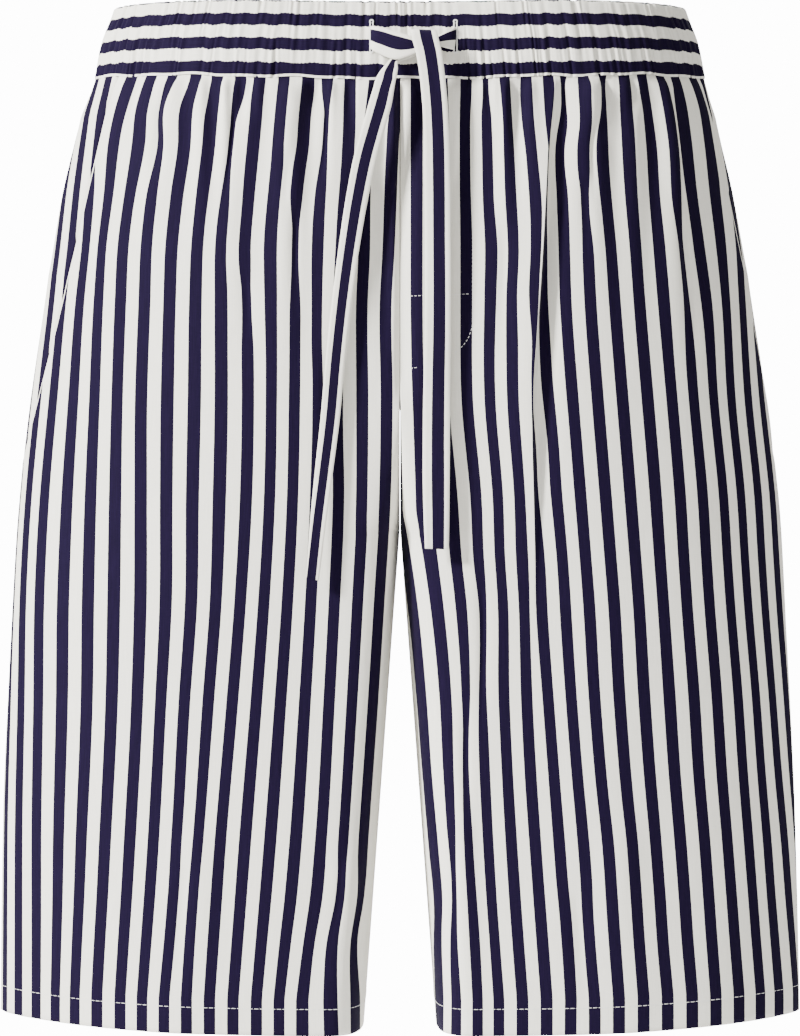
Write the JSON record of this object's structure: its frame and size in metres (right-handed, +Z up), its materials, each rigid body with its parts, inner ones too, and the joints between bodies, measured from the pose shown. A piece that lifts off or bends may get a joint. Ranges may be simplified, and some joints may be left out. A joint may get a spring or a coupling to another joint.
{
  "type": "bermuda shorts",
  "caption": "Hollow, worn-form striped bermuda shorts with a gathered elastic waistband, slant pockets and a flat drawstring tied at the front.",
  "frame": {"origin": "centre of the waistband at half its height, where the wearer's waist holds the garment", "axes": "+Z up, towards the waist; -Y towards the front; +X towards the wearer's left"},
  "size_m": [0.4156, 0.1708, 0.527],
  "materials": {
    "body_cloth": "smooth cotton poplin, upright navy and ivory stripes of equal width",
    "waistband_cloth": "the same striped poplin with the stripes level, gathered over elastic",
    "drawstring_cloth": "the same poplin folded into a flat tie with one navy stripe between ivory edges"
  },
  "bodies": {
    "root": {"waistband": "waistband_cloth", "front_right": "body_cloth", "front_left": "body_cloth", "back_right": "body_cloth", "back_left": "body_cloth", "pocket_side_right": "body_cloth", "pocket_side_left": "body_cloth", "drawstring_right": "drawstring_cloth", "drawstring_left": "drawstring_cloth"}
  },
  "joints": []
}
